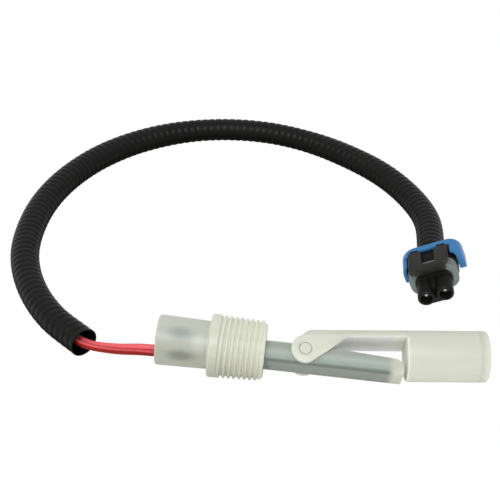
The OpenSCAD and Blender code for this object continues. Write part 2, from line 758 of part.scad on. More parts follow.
// Latch frame over the seal, on two arms that bend at the rear of the housing
module latch() {
    window_w = 5;
    front_bar = 2.9;
    lip_t = 1.6;
    lip_z = tower_d / 2 + 1.55;
    lip_top = latch_z + latch_t - 0.5;
    lip_side_z = lip_z + 1.5;
    lip_flat = 5;
    corner_cut = 1.6;
    color([0.15, 0.15, 0.14]) in_connector() difference() {
        union() {
            prism(latch_front, latch_hinge_y) translate([0, latch_z + latch_t / 2])
                polygon(round_box(latch_w, latch_t, 0.5));
            prism(latch_front, latch_front + lip_t)
                polygon([[-latch_w / 2, lip_top], [-latch_w / 2, lip_side_z], [-lip_flat, lip_z + 0.2],
                    [0, lip_z], [lip_flat, lip_z + 0.2], [latch_w / 2, lip_side_z], [latch_w / 2, lip_top]]);
        }
        translate([-window_w / 2, latch_front + front_bar, latch_z - 1])
            cube([window_w, latch_l, latch_t + 2]);
        translate([latch_w / 2 - corner_cut, latch_front + corner_cut, lip_z - 1])
            linear_extrude(latch_t + lip_top) polygon([[0, 0], [0, -latch_l],
                [2 * corner_cut, -latch_l], [2 * corner_cut, 2 * corner_cut]]);
    }
}

// Points of a quarter turn from one angle down to 90 degrees less
function quarter(x, z, r, start, n = 8) =
    [for (i = [0 : n]) let (a = start - 90 * i / n) [x + r * cos(a), z + r * sin(a)]];

// Outline of the lock: an arch whose left shoulder is rounder than its right one
function arch(left, right, top, foot, left_r, right_r) = concat([[left, foot]],
    quarter(left + left_r, top - left_r, left_r, 180), quarter(right - right_r, top - right_r, right_r, 90),
    [[right, foot]]);

// Blue lock: an arch over the rear of the housing, cut back for the latch
module secondary_lock() {
    right_extra = 1.1;
    notch_right = latch_w / 2 + 0.7;
    notch_end = latch_foot_y + latch_foot_l + 0.3;
    notch_z = 4.4;
    relief_l = 1.2;
    relief_top = 1.2;
    left_r = shell_r + lock_wall + 0.8;
    right_r = shell_r + 1;
    inner_r = shell_r + lock_gap;
    inner_right_r = 2.2;
    color([0.15, 0.42, 0.75]) in_connector() difference() {
        prism(lock_front, lock_back)
            polygon(arch(-lock_out, lock_out + right_extra, lock_top, lock_foot, left_r, right_r));
        prism(lock_front - 1, lock_back + 1)
            polygon(arch(-lock_in, lock_in, lock_top_in, lock_foot - 1, inner_r, inner_right_r));
        translate([-lock_out - 1, lock_front - 1, notch_z])
            cube([lock_out + 1 + notch_right, notch_end - lock_front + 1, lock_top]);
        translate([-lock_out - 1, lock_front - 1, lock_foot - 1])
            cube([2 * lock_out + 3, relief_l + 1, relief_top + 1]);
    }
}

plug_body();
rear_potting();
stem_potting();
reed_glass();
reed_blade_front();
reed_blade_rear();
lead_front();
lead_rear();
splice_a();
splice_b();
shrink_sleeve_a();
shrink_sleeve_b();
float_shell();
float_cap();
magnet();
magnet_plug();
wire_a();
wire_b();
conduit();
connector_housing();
interface_seal();
wire_seal_a();
wire_seal_b();
terminal_a();
terminal_b();
latch();
secondary_lock();
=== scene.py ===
import json
import math

import bmesh
import bpy
from mathutils import Matrix, Vector


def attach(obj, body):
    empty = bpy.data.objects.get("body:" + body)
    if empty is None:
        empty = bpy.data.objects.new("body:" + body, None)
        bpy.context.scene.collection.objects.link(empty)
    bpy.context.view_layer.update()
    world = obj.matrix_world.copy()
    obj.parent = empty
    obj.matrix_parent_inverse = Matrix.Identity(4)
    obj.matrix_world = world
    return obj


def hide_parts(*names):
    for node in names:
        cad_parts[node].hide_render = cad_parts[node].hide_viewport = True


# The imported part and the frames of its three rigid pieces, read from the record's mounts and joints.
# Plug: X along its axis from the rear of the collar, Z towards the float's opening side.
# Float: X from the pivot along the float. Connector: Y towards its cable, Z towards its latch.
MM = 0.001
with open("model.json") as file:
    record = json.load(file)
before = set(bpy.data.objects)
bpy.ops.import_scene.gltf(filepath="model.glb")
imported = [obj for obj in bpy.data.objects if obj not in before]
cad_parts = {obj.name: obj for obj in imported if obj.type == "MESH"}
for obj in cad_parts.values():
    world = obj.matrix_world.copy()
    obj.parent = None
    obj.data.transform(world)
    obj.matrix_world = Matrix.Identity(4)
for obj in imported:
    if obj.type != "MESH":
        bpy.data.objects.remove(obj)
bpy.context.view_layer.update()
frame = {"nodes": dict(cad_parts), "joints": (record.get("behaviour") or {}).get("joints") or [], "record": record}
mounts = {m["name"]: m for m in frame["record"]["mounts"]}
joints = {j["name"]: j for j in frame["joints"]}


def axes_at(origin, x, y):
    """Matrix of a frame with that origin and those X and Y axes."""
    matrix = Matrix((x, y, x.cross(y).normalized())).transposed().to_4x4()
    matrix.translation = origin
    return matrix


def surface_centre(node):
    """Middle of a CAD node's surface."""
    faces = frame["nodes"][node].data.polygons
    return sum((f.center * f.area for f in faces), Vector()) / sum(f.area for f in faces)


collar_l = 2.7
seal_half = 2.3
plug_axis = Vector(mounts["pipe_thread"]["axis"])
across = -Vector(joints["float_pivot"]["axis"])
pivot = Vector(joints["float_pivot"]["pos_m"])
plug = axes_at(Vector(mounts["pipe_thread"]["pos_m"]) - collar_l * MM * plug_axis, plug_axis, across)
floating = axes_at(pivot, (surface_centre("magnet") - pivot).normalized(), across)
to_cable = Vector(joints["lock_slide"]["axis"])
connector = axes_at(
    Vector(mounts["connector_face"]["pos_m"]) + seal_half * MM * to_cable,
    -Vector(joints["latch_flex"]["axis"]), to_cable)


# Camera: a long lens from the front and well above, fitted to some thirty points of the photograph.
# It turns a little to the left and has almost no roll.
camera_place = Vector((2.789, -303.427, 264.731)) * MM
camera_down = math.radians(35.066)
camera_yaw = math.radians(-5.218)
camera_roll = math.radians(0.145)
lens_mm = 82.8
sensor_mm = 36

forward = Vector((
    math.sin(camera_yaw) * math.cos(camera_down),
    math.cos(camera_yaw) * math.cos(camera_down),
    -math.sin(camera_down)))
level = Vector((math.cos(camera_yaw), -math.sin(camera_yaw), 0))
steep = forward.cross(level)
right = level * math.cos(camera_roll) - steep * math.sin(camera_roll)
down = level * math.sin(camera_roll) + steep * math.cos(camera_roll)
lens = bpy.data.cameras.new("camera")
lens.lens = lens_mm
lens.sensor_width = sensor_mm
lens.sensor_fit = "HORIZONTAL"
lens.clip_start = 0.01
lens.clip_end = 20
camera = bpy.data.objects.new("camera", lens)
camera.matrix_world = axes_at(camera_place, right, -down)
bpy.context.scene.collection.objects.link(camera)
bpy.context.scene.camera = camera


# Studio: a white table that stays white to the camera but still takes a faint contact shadow,
# a white room that is dimmer in reflections, and one large soft light above and in front.
def add(tree, kind, values=None, **settings):
    """A node with its settings. A value that is a socket is linked, any other is set."""
    made = tree.nodes.new(kind)
    for key, value in settings.items():
        setattr(made, key, value)
    for key, value in (values or {}).items():
        if isinstance(value, bpy.types.NodeSocket):
            tree.links.new(value, made.inputs[key])
        else:
            made.inputs[key].default_value = value
    return made


def maths(tree, operation, *values):
    """Result of a Math node on sockets or numbers."""
    return add(tree, "ShaderNodeMath", dict(enumerate(values)), operation=operation).outputs[0]


def white_table():
    """A wide table, matt to the light and nearly pure white to the camera."""
    half = 3.0
    shade = 0.97
    white_share = 0.97
    glow_strength = 1.02
    mesh = bpy.data.meshes.new("floor")
    corners = [(-half, -half, 0), (half, -half, 0), (half, half, 0), (-half, half, 0)]
    mesh.from_pydata(corners, [], [(0, 1, 2, 3)])
    floor = bpy.data.objects.new("floor", mesh)
    bpy.context.scene.collection.objects.link(floor)
    paint = bpy.data.materials.new("table_white")
    paint.use_nodes = True
    tree = paint.node_tree
    tree.nodes.clear()
    seen = add(tree, "ShaderNodeLightPath").outputs["Is Camera Ray"]
    matt = add(tree, "ShaderNodeBsdfDiffuse", {"Color": (shade, shade, shade, 1)})
    glow = add(tree, "ShaderNodeEmission", {"Color": (1, 1, 1, 1), "Strength": glow_strength})
    mix = add(tree, "ShaderNodeMixShader", {
        0: maths(tree, "MULTIPLY", seen, white_share), 1: matt.outputs[0], 2: glow.outputs[0]})
    add(tree, "ShaderNodeOutputMaterial", {"Surface": mix.outputs[0]})
    mesh.materials.append(paint)


def white_room():
    """A white world, dimmer as a light and dimmer still in reflections."""
    seen = 1.0
    as_light = 0.72
    mirrored = 0.4
    world = bpy.data.worlds.new("room")
    bpy.context.scene.world = world
    world.use_nodes = True
    tree = world.node_tree
    tree.nodes.clear()
    path = add(tree, "ShaderNodeLightPath")
    direct = maths(tree, "MAXIMUM", path.outputs["Is Camera Ray"], path.outputs["Is Transmission Ray"])
    lit = add(tree, "ShaderNodeMapRange", {
        "Value": path.outputs["Is Glossy Ray"], "To Min": as_light, "To Max": mirrored})
    strength = add(tree, "ShaderNodeMapRange", {"Value": direct, "To Min": lit.outputs[0], "To Max": seen})
    air = add(tree, "ShaderNodeBackground", {"Color": (1, 1, 1, 1), "Strength": strength.outputs[0]})
    add(tree, "ShaderNodeOutputWorld", {"Surface": air.outputs[0]})


def soft_light(name, place, aim, size, watts):
    """A round lamp that points at a place."""
    lamp = bpy.data.lights.new(name, "AREA")
    lamp.shape = "DISK"
    lamp.size = size
    lamp.energy = watts
    obj = bpy.data.objects.new(name, lamp)
    obj.location = place
    obj.rotation_euler = (Vector(aim) - Vector(place)).to_track_quat("-Z", "Y").to_euler()
    bpy.context.scene.collection.objects.link(obj)


white_table()
white_room()
soft_light("overhead", place=(-0.12, -0.5, 0.75), aim=(0, 0.03, 0), size=0.4, watts=3.0)
bpy.context.scene.view_settings.view_transform = "Standard"


# Conduit: black corrugated loom tube of polyethylene, blow-moulded as rings with narrow grooves and cut
# off square at both ends. It lies on the table in one wide arc from its open mouth to the connector, and
# is slightly out of round along the arc.
conduit_d = 10.4
conduit_wall = 0.45
ring_pitch = 3.05
ring_groove = 0.42
conduit_rise = 0.9
conduit_gap = 1
rear_y = 13.8
line_step = 2
route = [
    (-83.8, 2.6), (-98.7, 16), (-110.3, 33), (-117.8, 52.5), (-120.2, 72.5), (-118.8, 93),
    (-113.1, 112.4), (-103, 130.4), (-88.8, 145), (-70.8, 155.4), (-51.2, 160),
    (-30.6, 158.8), (-11.2, 151.8), (5.9, 140.8), (21, 126.8), (32.3, 110), (38.8, 91)]
# Share of the way along it from the open mouth, and its width and height there against a round tube
roundness = [
    (0, 1.05, 1), (0.1, 1.04, 1), (0.2, 1.08, 1), (0.28, 1.11, 1), (0.42, 1.12, 1), (0.49, 1.05, 0.99),
    (0.55, 0.97, 0.95), (0.68, 0.96, 0.94), (0.74, 1.04, 0.98), (0.8, 1.06, 1), (1, 1.03, 1)]


def mixed(tree, share, first, second):
    """Colour between two colours."""
    mix = add(tree, "ShaderNodeMix", data_type="RGBA")
    for key, value in ((0, share), (6, first), (7, second)):
        if isinstance(value, bpy.types.NodeSocket):
            tree.links.new(value, mix.inputs[key])
        else:
            mix.inputs[key].default_value = value if key == 0 else (*value, 1)
    return mix.outputs[2]


def noise(tree, scale, detail=3):
    """Noise from 0 to 1 with features about 1 / scale metres across, fixed to the piece."""
    place = add(tree, "ShaderNodeTexCoord").outputs["Object"]
    return add(tree, "ShaderNodeTexNoise", {"Vector": place, "Scale": scale, "Detail": detail}).outputs[0]


def plastic(name, colour, other, rough=0.4, patch=300, grain=0.02, grain_scale=3500, **sockets):
    """A moulded or extruded plastic: two close colours in soft patches and a fine grain."""
    paint = bpy.data.materials.new(name)
    paint.use_nodes = True
    tree = paint.node_tree
    shader = tree.nodes["Principled BSDF"]
    tree.links.new(mixed(tree, noise(tree, patch), colour, other), shader.inputs["Base Color"])
    bump = add(tree, "ShaderNodeBump", {"Height": noise(tree, grain_scale), "Distance": grain * MM})
    tree.links.new(bump.outputs[0], shader.inputs["Normal"])
    shader.inputs["Roughness"].default_value = rough
    for key, value in sockets.items():
        shader.inputs[key.replace("_", " ")].default_value = value
    return paint


def smooth_line(points, step):
    """Points about step apart on a smooth line through the given ones (centripetal Catmull-Rom)."""
    points = [Vector(p) for p in points]
    ends = [2 * points[0] - points[1], *points, 2 * points[-1] - points[-2]]
    line = []
    for p0, p1, p2, p3 in zip(ends, ends[1:], ends[2:], ends[3:]):
        t0 = 0
        t1 = t0 + math.sqrt((p1 - p0).length)
        t2 = t1 + math.sqrt((p2 - p1).length)
        t3 = t2 + math.sqrt((p3 - p2).length)
        count = max(1, round((p2 - p1).length / step))
        for i in range(count):
            t = t1 + (t2 - t1) * i / count
            a = p0.lerp(p1, (t - t0) / (t1 - t0))
            b = p1.lerp(p2, (t - t1) / (t2 - t1))
            c = p2.lerp(p3, (t - t2) / (t3 - t2))
            d = a.lerp(b, (t - t0) / (t2 - t0))
            e = b.lerp(c, (t - t1) / (t3 - t1))
            line.append(d.lerp(e, (t - t1) / (t2 - t1)))
    return line + [points[-1]]


def line_object(name, points):
    """A curve object of straight pieces through the points."""
    curve = bpy.data.curves.new(name, "CURVE")
    curve.dimensions = "3D"
    spline = curve.splines.new("POLY")
    spline.points.add(len(points) - 1)
    for target, p in zip(spline.points, points):
        target.co = (*p, 1)
    obj = bpy.data.objects.new(name, curve)
    bpy.context.scene.collection.objects.link(obj)
    return obj


def shape_tree(name, inputs):
    """A geometry tree with those number inputs and a material, and its two end nodes."""
    tree = bpy.data.node_groups.new(name, "GeometryNodeTree")
    tree.interface.new_socket("Geometry", in_out="INPUT", socket_type="NodeSocketGeometry")
    for label in inputs:
        tree.interface.new_socket(label, in_out="INPUT", socket_type="NodeSocketFloat")
    tree.interface.new_socket("Material", in_out="INPUT", socket_type="NodeSocketMaterial")
    tree.interface.new_socket("Geometry", in_out="OUTPUT", socket_type="NodeSocketGeometry")
    return tree, tree.nodes.new("NodeGroupInput").outputs, tree.nodes.new("NodeGroupOutput").inputs


def close_tree(tree, given, result, geometry):
    """Ends a geometry tree: instances made real, the material set."""
    real = add(tree, "GeometryNodeRealizeInstances", {0: geometry})
    final = add(tree, "GeometryNodeSetMaterial", {"Geometry": real.outputs[0], "Material": given["Material"]})
    tree.links.new(final.outputs[0], result[0])


def plain(obj, name, tree=None, values=None, wall=0, sharp=40):
    """The evaluated object, with a geometry tree run on it, as a plain mesh of its own."""
    if tree:
        modifier = obj.modifiers.new("shape", "NODES")
        modifier.node_group = tree
        for item in tree.interface.items_tree:
            if item.in_out == "INPUT" and item.name in values:
                modifier[item.identifier] = values[item.name]
    if wall:
        shell = obj.modifiers.new("wall", "SOLIDIFY")
        shell.thickness = wall
        shell.offset = -1
    graph = bpy.context.evaluated_depsgraph_get()
    mesh = bpy.data.meshes.new_from_object(obj.evaluated_get(graph), depsgraph=graph)
    bpy.data.objects.remove(obj)
    made = bpy.data.objects.new(name, mesh)
    bpy.context.scene.collection.objects.link(made)
    smooth(mesh, sharp)
    return made


def smooth(mesh, sharp):
    """Smooth shading with the edges over that many degrees kept sharp."""
    mesh.polygons.foreach_set("use_smooth", [True] * len(mesh.polygons))
    mesh.set_sharp_from_angle(angle=math.radians(sharp))


def ramp(tree, value, low, high, stops):
    """Colour along a value from low to high: stops are (share, colour)."""
    share = add(tree, "ShaderNodeMapRange", {"Value": value, "From Min": low, "From Max": high}).outputs[0]
    made = add(tree, "ShaderNodeValToRGB", {"Fac": share})
    bands = made.color_ramp.elements
    for _ in stops[2:]:
        bands.new(0.5)
    for band, (share_at, colour) in zip(bands, stops):
        band.position = share_at
        band.color = (*colour, 1)
    return made.outputs[0]


def conduit_tree():
    """Rings along a line, a broad crest and a narrow groove in each pitch, with the tube's own roundness."""
    first_groove = 0.3
    groove_sharpness = 4.0
    tree, given, result = shape_tree(
        "corrugation", ["Pitch", "Crest radius", "Groove depth", "Sides", "Per pitch"])
    step = maths(tree, "DIVIDE", given["Pitch"], given["Per pitch"])
    line = add(tree, "GeometryNodeResampleCurve", {"Curve": given["Geometry"], "Length": step}, mode="LENGTH")
    along = add(tree, "GeometryNodeSplineParameter").outputs["Length"]
    pitches = maths(tree, "ADD", maths(tree, "DIVIDE", along, given["Pitch"]), first_groove)
    turn = maths(tree, "FRACT", pitches)
    off = maths(tree, "ABSOLUTE", maths(tree, "SUBTRACT", maths(tree, "MULTIPLY", turn, 2.0), 1.0))
    drop = maths(tree, "MULTIPLY", maths(tree, "POWER", off, groove_sharpness), given["Groove depth"])
    radius = maths(tree, "SUBTRACT", given["Crest radius"], drop)
    ring = add(tree, "GeometryNodeCurvePrimitiveCircle", {
        "Resolution": given["Sides"], "Radius": 1.0}, mode="RADIUS")
    share = add(tree, "GeometryNodeSplineParameter").outputs["Factor"]
    oval = ramp(tree, share, 0, 1, [(stop, (width, width, height)) for stop, width, height in roundness])
    kept = add(tree, "GeometryNodeCaptureAttribute", {"Geometry": line.outputs[0]})
    kept.capture_items.new("VECTOR", "middle")
    kept.capture_items.new("VECTOR", "oval")
    tree.links.new(add(tree, "GeometryNodeInputPosition").outputs[0], kept.inputs["middle"])
    tree.links.new(oval, kept.inputs["oval"])
    tube = add(tree, "GeometryNodeCurveToMesh", {
        "Curve": kept.outputs["Geometry"], "Profile Curve": ring.outputs[0], "Scale": radius})
    out = add(tree, "ShaderNodeVectorMath", {
        0: add(tree, "GeometryNodeInputPosition").outputs[0],
        1: kept.outputs["middle"]}, operation="SUBTRACT")
    place = add(tree, "ShaderNodeVectorMath", {
        0: out.outputs[0], 1: kept.outputs["oval"], 2: kept.outputs["middle"]}, operation="MULTIPLY_ADD")
    shaped = add(tree, "GeometryNodeSetPosition", {"Geometry": tube.outputs[0], "Position": place.outputs[0]})
    close_tree(tree, given, result, shaped.outputs[0])
    return tree


def facing_up(tree):
    """How far the surface faces up: 1 on top, 0 at the sides, -1 below."""
    facing = add(tree, "ShaderNodeTexCoord").outputs["Normal"]
    return add(tree, "ShaderNodeSeparateXYZ", {0: facing}).outputs["Z"]


def conduit_plastic():
    """Black that is matt at its sides and has a soft sheen where it faces up."""
    paint = plastic("conduit_black", (0.003, 0.003, 0.0026), (0.005, 0.005, 0.0042))
    tree = paint.node_tree
    upward = facing_up(tree)
    for socket, at_side, on_top in (("Specular IOR Level", 0.05, 0.34), ("Roughness", 0.65, 0.37)):
        finish = add(tree, "ShaderNodeMapRange", {
            "Value": upward, "From Min": -0.1, "From Max": 0.85, "To Min": at_side, "To Max": on_top})
        tree.links.new(finish.outputs[0], tree.nodes["Principled BSDF"].inputs[socket])
    return paint


def at(matrix, x, y, z):
    """Point of one of the frames above, given in millimetres."""
    return matrix @ Vector((x * MM, y * MM, z * MM))


conduit_path = [
    Vector((x, y, conduit_d / 2 + (conduit_rise if (x, y) == route[-1] else 0))) * MM for x, y in route]
conduit_path.append(at(connector, 0, rear_y + conduit_gap, 0))
conduit_line = smooth_line(conduit_path, line_step * MM)
conduit = plain(
    line_object("conduit_line", conduit_line), "corrugated_conduit", conduit_tree(),
    {"Pitch": ring_pitch * MM, "Crest radius": conduit_d / 2 * MM, "Groove depth": ring_groove * MM,
     "Sides": 30, "Per pitch": 8, "Material": conduit_plastic()}, wall=conduit_wall * MM, sharp=60)
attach(conduit, "root")
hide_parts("conduit")


# Wires: two of 18 gauge with red PVC insulation, extruded and glossy. They come out of the potting one
# above the other, cross to the conduit's open mouth and run through it side by side to the terminals.
# The lower wire b has painted shade where it faces down and towards the plug, for the upper wire's shadow.
wire_d = 2.1
exit_x = -18
exit_a_z = -3.07
exit_b_z = -5.17
wire_drop = 0.25
wire_side = 1.12
wire_lift = 0.1
wire_bow = 0.15
wire_sag = 1.05
terminal_pitch = 7.2


def past(tree, value, low, high):
    """0 below low, 1 above high, and a smooth step between them."""
    return add(tree, "ShaderNodeMapRange", {"Value": value, "From Min": low, "From Max": high},
               interpolation_type="SMOOTHSTEP").outputs[0]


def until(tree, value, low, high):
    """1 below low, 0 above high, and a smooth step between them."""
    return maths(tree, "SUBTRACT", 1.0, past(tree, value, low, high))


def wire_red(name, shade, shine, low):
    """Red with painted shade: turns to the shade colour as it faces less upwards, wholly from low on, and towards
    the plug.
    """
    open_stretch = (-84 * MM, -70 * MM)
    paint = plastic(name, (0.88, 0.135, 0.15), (0.83, 0.12, 0.135), rough=0.42, patch=120, grain=0.004,
                    Specular_IOR_Level=shine, Subsurface_Weight=0.1, Subsurface_Scale=0.4 * MM,
                    Subsurface_Radius=(1, 1, 1))
    tree = paint.node_tree
    shader = tree.nodes["Principled BSDF"]
    colour = shader.inputs["Base Color"].links[0].from_socket
    place = add(tree, "ShaderNodeTexCoord").outputs["Object"]
    x = add(tree, "ShaderNodeSeparateXYZ", {0: place}).outputs["X"]
    # Painted shade: part of the way towards the plug, and wholly where the wire faces up by less than low
    shaded_near_plug = maths(tree, "MULTIPLY", past(tree, x, *open_stretch), 0.3)
    below = until(tree, facing_up(tree), low, 1.0)
    share = maths(tree, "MAXIMUM", shaded_near_plug, below)
    tree.links.new(mixed(tree, share, colour, shade), shader.inputs["Base Color"])
    return paint


def tube_tree():
    """A round closed tube along a line."""
    tree, given, result = shape_tree("tube", ["Radius", "Sides"])
    ring = add(tree, "GeometryNodeCurvePrimitiveCircle", {
        "Resolution": given["Sides"], "Radius": given["Radius"]}, mode="RADIUS")
    tube = add(tree, "GeometryNodeCurveToMesh", {
        "Curve": given["Geometry"], "Profile Curve": ring.outputs[0], "Fill Caps": True})
    close_tree(tree, given, result, tube.outputs[0])
    return tree


def wire_path(side, exit_z):
    """Points of a wire from inside the potting to its terminal."""
    rooted = 1.4
    rooted_rise = 0.45
    straight = 5
    start = [at(plug, exit_x + rooted, 0, exit_z + rooted_rise), at(plug, exit_x, 0, exit_z)]
    leave = at(plug, exit_x - straight, 0, exit_z - wire_drop)
    run = []
    for i, p in enumerate(conduit_path[:-1]):
        ahead = conduit_path[min(i + 1, len(route) - 1)] - conduit_path[max(i - 1, 0)]
        off = Vector((ahead.y, -ahead.x, 0)).normalized()
        run.append(p + side * wire_side * MM * off - Vector((0, 0, side * wire_lift * MM)))
    middle = (leave + run[0]) / 2 + Vector((0, side * wire_bow * MM, -wire_sag * MM))
    ends = [at(connector, -side * x, y, 0) for x, y in (
        (wire_side, rear_y + 9), (2.2, rear_y + 0.8), (terminal_pitch / 2, rear_y - 1.9),
        (terminal_pitch / 2, 7.55))]
    return [*start, leave, middle, *run, *ends]


wires = tube_tree()
# Per wire: its painted shade colour, shine and low; only wire b's shade is dark, wire a's is nearly its own red
for letter, side, exit_z, shade, shine, low in (
        ("a", 1, exit_a_z, (0.92, 0.15, 0.165), 0.5, -0.05),
        ("b", -1, exit_b_z, (0.28, 0.012, 0.009), 0.15, 0.6)):
    line = smooth_line(wire_path(side, exit_z), line_step * MM)
    wire_paint = wire_red("wire_red_" + letter, shade, shine, low)
    wire = plain(line_object("wire_line", line), f"red_wire_{letter}", wires,
                 {"Radius": wire_d / 2 * MM, "Sides": 18, "Material": wire_paint})
    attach(wire, "root")
    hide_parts(f"wire_{letter}")


# Plug body: one moulding of natural polypropylene, milky and slightly see-through. Its tapered thread has
# a helical groove. The skirt shows the sleeves behind its wall as soft stains, and the stem shows its grey
# core through a wall of 1 mm. Thread, collar and skirt have painted shade low down and painted light
# in the groove and between the stains, and the core has a painted highlight band and painted shade.
thread_start = 3.1
thread_end = 19
thread_pitch = 1.814
groove_l = 17.3
groove_depth = 0.9
groove_top = 1.4
groove_root = 0.35
groove_over = 0.5
crest_start = 2.4
crest_l = 15.25
crest_start_r = 10.85
crest_end_r = 10.33
stem_half_w = 5.4
stem_below = 5
stem_above = 2.4
core_fades_from = 60.5
core_fades_to = 63.6


def dressed(node, name, edge, angle=32, inverse=None, spared=None):
    """A copy of a CAD node's mesh, its flat faces whole again and its edges rounded, but the spared ones."""
    mesh = frame["nodes"][node].data.copy()
    mesh.materials.clear()
    if "custom_normal" in mesh.attributes:
        mesh.attributes.remove(mesh.attributes["custom_normal"])
    work = bmesh.new()
    work.from_mesh(mesh)
    bmesh.ops.remove_doubles(work, verts=work.verts, dist=0.002 * MM)
    bmesh.ops.dissolve_limit(work, angle_limit=math.radians(1), verts=work.verts, edges=work.edges)
    bmesh.ops.recalc_face_normals(work, faces=work.faces)
    weight = work.edges.layers.float.new("bevel_weight_edge")
    for line in work.edges:
        bent = len(line.link_faces) == 2 and line.calc_face_angle() > math.radians(angle)
        if bent and not (spared and spared((line.verts[0].co + line.verts[1].co) / 2)):
            line[weight] = 1
    work.to_mesh(mesh)
    work.free()
    if inverse:
        mesh.transform(inverse)
    obj = bpy.data.objects.new(name, mesh)
    bpy.context.scene.collection.objects.link(obj)
    if edge:
        bevel = obj.modifiers.new("edges", "BEVEL")
        bevel.width = edge * MM
        bevel.segments = 2
        bevel.limit_method = "WEIGHT"
    return obj


def finish_piece(obj, paint, body, nodes):
    """Gives a piece its material and body, and hides the CAD nodes that it stands for."""
    obj.data.materials.clear()
    obj.data.materials.append(paint)
    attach(obj, body)
    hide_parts(*nodes)


def thread_tree():
    """A conical helix of V section, cut from the body in the plug's frame after a cone fills its crests."""
    run_in = 0.045
    run_in_scale = 0.1
    tree, given, result = shape_tree("pipe_thread", [
        "Start", "Length", "Pitch", "Start radius", "End radius", "Depth", "Top width", "Root width", "Over",
        "Crest start", "Crest length"])
    turns = maths(tree, "DIVIDE", given["Length"], given["Pitch"])
    helix = add(tree, "GeometryNodeCurveSpiral", {
        "Resolution": 64, "Rotations": turns, "Start Radius": given["Start radius"],
        "End Radius": given["End radius"], "Height": given["Length"]})
    upright = add(tree, "GeometryNodeSetCurveNormal", {"Curve": helix.outputs[0]}, mode="Z_UP")
    widening = maths(tree, "SUBTRACT", given["Top width"], given["Root width"])
    slope = maths(tree, "DIVIDE", widening, given["Depth"])
    wide = maths(tree, "ADD", given["Top width"], maths(tree, "MULTIPLY", slope, given["Over"]))
    high = maths(tree, "ADD", given["Depth"], given["Over"])
    section = add(tree, "GeometryNodeCurvePrimitiveQuadrilateral", {
        "Height": high, "Bottom Width": given["Root width"], "Top Width": wide,
        "Offset": 0.0}, mode="TRAPEZOID")
    shift = maths(tree, "MULTIPLY", maths(tree, "SUBTRACT", given["Over"], given["Depth"]), 0.5)
    lowered = add(tree, "GeometryNodeTransform", {
        "Geometry": section.outputs[0],
        "Translation": add(tree, "ShaderNodeCombineXYZ", {"Y": shift}).outputs[0]})
    turned = add(tree, "GeometryNodeTransform", {
        "Geometry": lowered.outputs[0], "Rotation": (0, 0, math.pi / 2)})
    along = add(tree, "GeometryNodeSplineParameter").outputs["Factor"]
    grown = add(tree, "ShaderNodeMapRange", {"Value": along, "From Max": run_in, "To Min": run_in_scale})
    groove = add(tree, "GeometryNodeCurveToMesh", {
        "Curve": upright.outputs[0], "Profile Curve": turned.outputs[0], "Scale": grown.outputs[0],
        "Fill Caps": True})
    placed = add(tree, "GeometryNodeTransform", {
        "Geometry": groove.outputs[0], "Rotation": (0, math.pi / 2, 0),
        "Translation": add(tree, "ShaderNodeCombineXYZ", {"X": given["Start"]}).outputs[0]})
    crest = add(tree, "GeometryNodeMeshCone", {
        "Vertices": 128, "Radius Bottom": given["Start radius"], "Radius Top": given["End radius"],
        "Depth": given["Crest length"]})
    crest_placed = add(tree, "GeometryNodeTransform", {
        "Geometry": crest.outputs[0], "Rotation": (0, math.pi / 2, 0),
        "Translation": add(tree, "ShaderNodeCombineXYZ", {"X": given["Crest start"]}).outputs[0]})
    filled = add(tree, "GeometryNodeMeshBoolean", operation="UNION", solver="EXACT")
    tree.links.new(given["Geometry"], filled.inputs["Mesh 2"])
    tree.links.new(crest_placed.outputs[0], filled.inputs["Mesh 2"])
    cut = add(tree, "GeometryNodeMeshBoolean", {"Mesh 1": filled.outputs[0], "Mesh 2": placed.outputs[0]},
              operation="DIFFERENCE", solver="EXACT")
    close_tree(tree, given, result, cut.outputs[0])
    return tree


def local_place(tree, matrix):
    """X, Y and Z of the shaded point in one of the frames above, in millimetres."""
    back = matrix.inverted()
    place = add(tree, "ShaderNodeMapping", {
        "Vector": add(tree, "ShaderNodeTexCoord").outputs["Object"], "Scale": (1000, 1000, 1000),
        "Rotation": back.to_euler(), "Location": back.translation * 1000})
    return add(tree, "ShaderNodeSeparateXYZ", {0: place.outputs[0]}).outputs


def distance(tree, first, second):
    """Distance that two offsets at right angles make."""
    squares = (maths(tree, "POWER", offset, 2) for offset in (first, second))
    return maths(tree, "SQRT", maths(tree, "ADD", *squares))


def stain(tree, x, height, middle, half):
    """A soft oval seen from the side, 1 in its middle and 0 outside."""
    off_x, off_height = (
        maths(tree, "DIVIDE", maths(tree, "SUBTRACT", value, centre), reach)
        for value, centre, reach in zip((x, height), middle, half))
    return until(tree, distance(tree, off_x, off_height), 0.25, 1.3)


def thread_colour(tree, x, y, z, height):
    """Cream of the thread and the collar, with painted shade towards the table and painted light in the groove."""
    # Painted shade: darker the lower the surface shows
    cream = ramp(tree, height, -10.8, 10.8, (
        (0, (0.42, 0.43, 0.36)), (0.2, (0.51, 0.52, 0.43)), (0.45, (0.64, 0.66, 0.56)),
        (0.7, (0.66, 0.68, 0.58)), (1, (0.74, 0.76, 0.65))))
    # Painted light: paler in the groove's hollow, where it would lie in shade
    groove = until(tree, distance(tree, y, z), 9.75, 10.3)
    cream = mixed(tree, maths(tree, "MULTIPLY", groove, 0.3), cream, (1, 1, 0.88))
    collar = until(tree, x, collar_l - 0.3, collar_l + 0.3)
    return mixed(tree, maths(tree, "MULTIPLY", collar, 0.02), cream, (0, 0, 0))


